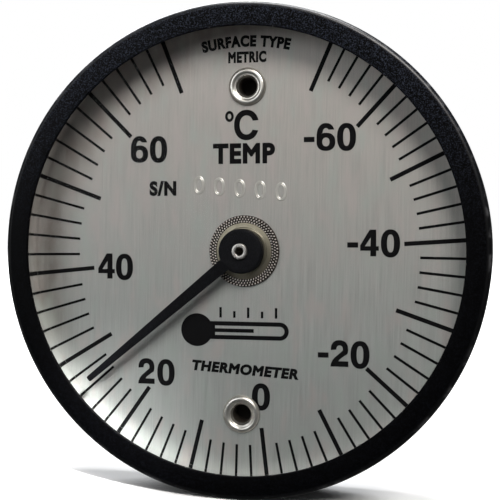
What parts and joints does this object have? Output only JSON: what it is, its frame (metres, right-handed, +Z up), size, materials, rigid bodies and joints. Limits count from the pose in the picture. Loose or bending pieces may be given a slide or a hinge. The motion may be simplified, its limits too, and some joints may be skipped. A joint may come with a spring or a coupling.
{
  "type": "dial thermometer",
  "caption": "Round bimetal dial thermometer with black case, glass front, brushed dial, black pointer, and magnets on the back for steel surfaces.",
  "frame": {"origin": "centre of the back contact face, on the pointer's axis", "axes": "+Y out of the back, towards the measured surface, so the dial is read from -Y; +Z up the dial; +X to the reader's right"},
  "size_m": [0.0508, 0.0095, 0.0508],
  "materials": {
    "case": "black satin enamel with a fine texture",
    "seal": "matt black",
    "glass": "clear, polished",
    "bright_ring": "bright turned",
    "dial": "brushed along the vertical, printed in black",
    "plain_aluminium": "mill finish",
    "nickel": "nickel plated, knurled rim",
    "brass": "turned",
    "eyelet": "polished nickel plate",
    "zinc_steel": "zinc plated",
    "magnet": "sintered ferrite, dark grey",
    "bimetal": "rolled strip",
    "staff": "bright drawn tube",
    "pointer": "matt black"
  },
  "bodies": {
    "housing": {"case": "case", "crystal_gasket": "seal", "crystal": "glass", "spacer_ring": "bright_ring", "dial_plate": "dial", "rear_spacer_ring": "plain_aluminium", "back_plate": "plain_aluminium", "back_seal": "seal", "center_bushing": "nickel", "bushing_nut": "brass", "upper_eyelet": "eyelet", "lower_eyelet": "eyelet", "upper_spacer_tube": "zinc_steel", "lower_spacer_tube": "zinc_steel", "upper_magnet_cup": "zinc_steel", "lower_magnet_cup": "zinc_steel", "upper_magnet": "magnet", "lower_magnet": "magnet", "sensing_plate": "plain_aluminium", "coil_housing": "zinc_steel", "rear_bearing": "brass", "bimetal_coil": "bimetal", "coil_anchor_post": "brass"},
    "movement": {"staff": "staff", "thrust_washer": "brass", "coil_collet": "brass", "pointer": "pointer"}
  },
  "joints": [
    {"name": "pointer_turn", "type": "hinge", "parent": "housing", "child": "movement", "pos_m": [0, 0, 0], "axis": [0, 1, 0], "range_deg": [-207.3, 107.5], "stiffness_Nm_per_rad": 0.002}
  ]
}
